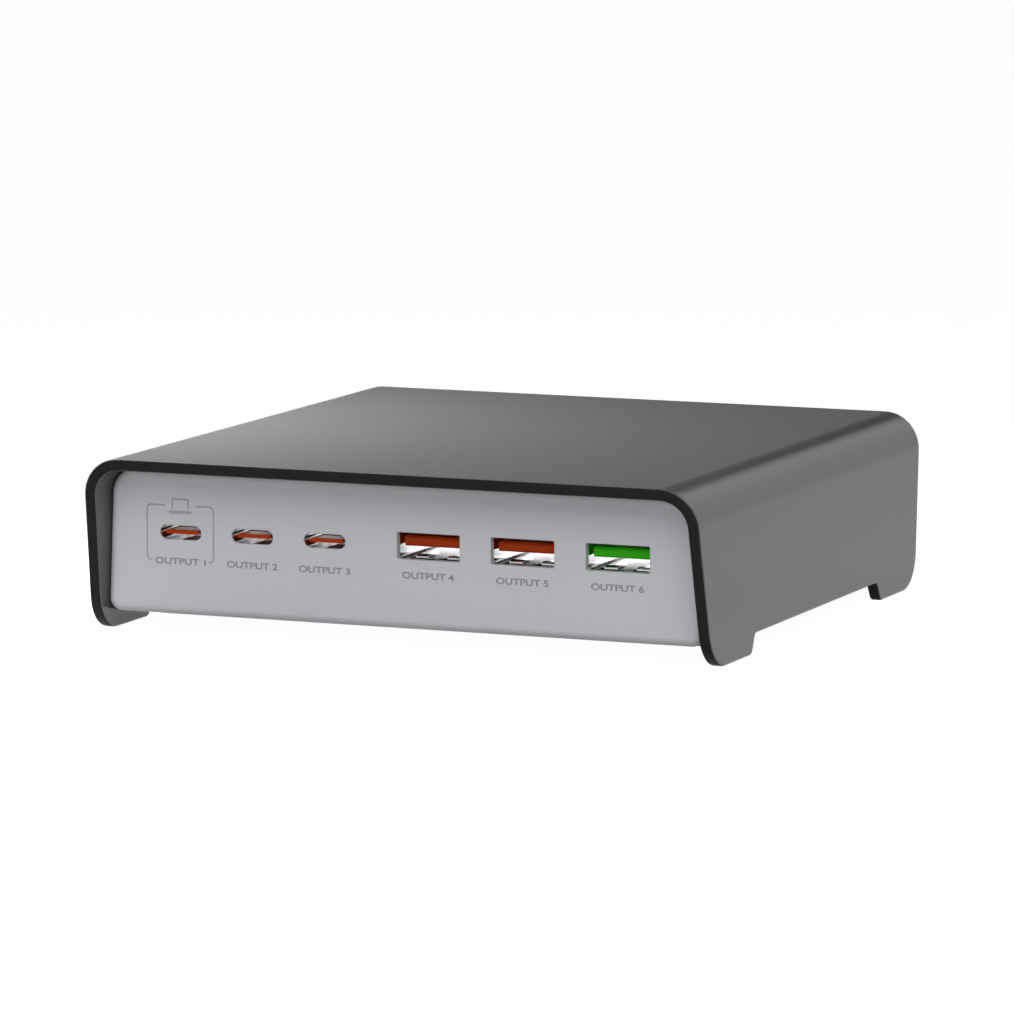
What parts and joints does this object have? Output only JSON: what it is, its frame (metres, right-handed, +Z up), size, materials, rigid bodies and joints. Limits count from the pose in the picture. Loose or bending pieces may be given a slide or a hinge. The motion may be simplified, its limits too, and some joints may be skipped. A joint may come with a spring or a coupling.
{
  "type": "multi port usb desktop charger",
  "caption": "Flat square desktop charger: dark bent cover with flared sides, raked ends and corner feet around a silver panel with slim and wide charging ports, mains socket behind.",
  "frame": {"origin": "on the desk, under the middle of the cover", "axes": "+Z up from the desk, front with the ports towards -Y, +X to the right seen from the front"},
  "size_m": [0.1226, 0.1218, 0.033],
  "materials": {
    "cover": "satin dark grey",
    "panel": "satin silver grey",
    "case_plastic": "fine matt texture",
    "inlet_plastic": "matt black",
    "port_steel": "bright nickel plate",
    "pin_metal": "bright nickel plate",
    "tongue_orange": "moulded, satin",
    "tongue_green": "moulded, satin",
    "contact_plate": "bright nickel plate",
    "screw_steel": "black zinc",
    "board": "solder mask",
    "film": "smooth film",
    "ferrite": "dull dark grey",
    "coil_tape": "smooth tape",
    "copper_winding": "lacquered wire",
    "pad_silicone": "dull",
    "capacitor_sleeve": "shrunk sleeve",
    "capacitor_box": "moulded box",
    "fuse_body": "plated caps",
    "sink_aluminium": "mill finish",
    "package_black": "moulded",
    "can_aluminium": "bright can"
  },
  "bodies": {
    "root": {"board_screws": "screw_steel", "boost_choke": "copper_winding", "bottom_tray": "case_plastic", "bridge_rectifier": "package_black", "bulk_capacitor_1": "capacitor_sleeve", "bulk_capacitor_2": "capacitor_sleeve", "case_screws": "screw_steel", "cover": "cover", "filter_choke": "copper_winding", "front_panel": "panel", "fuse": "fuse_body", "gap_pad": "pad_silicone", "heat_sink": "sink_aluminium", "inlet_pins": "pin_metal", "insulating_film": "film", "main_board": "board", "mains_capacitor": "capacitor_box", "mains_inlet": "inlet_plastic", "output_capacitors": "can_aluminium", "output_inductors": "package_black", "port_board": "board", "rear_panel": "case_plastic", "transformer_coil": "coil_tape", "transformer_core": "ferrite", "type_a_contacts_1": "contact_plate", "type_a_contacts_2": "contact_plate", "type_a_contacts_3": "contact_plate", "type_a_shell_1": "port_steel", "type_a_shell_2": "port_steel", "type_a_shell_3": "port_steel", "type_a_tongue_1": "tongue_orange", "type_a_tongue_2": "tongue_orange", "type_a_tongue_3": "tongue_green", "type_c_shell_1": "port_steel", "type_c_shell_2": "port_steel", "type_c_shell_3": "port_steel", "type_c_tongue_1": "tongue_orange", "type_c_tongue_2": "tongue_orange", "type_c_tongue_3": "tongue_orange"}
  },
  "joints": []
}
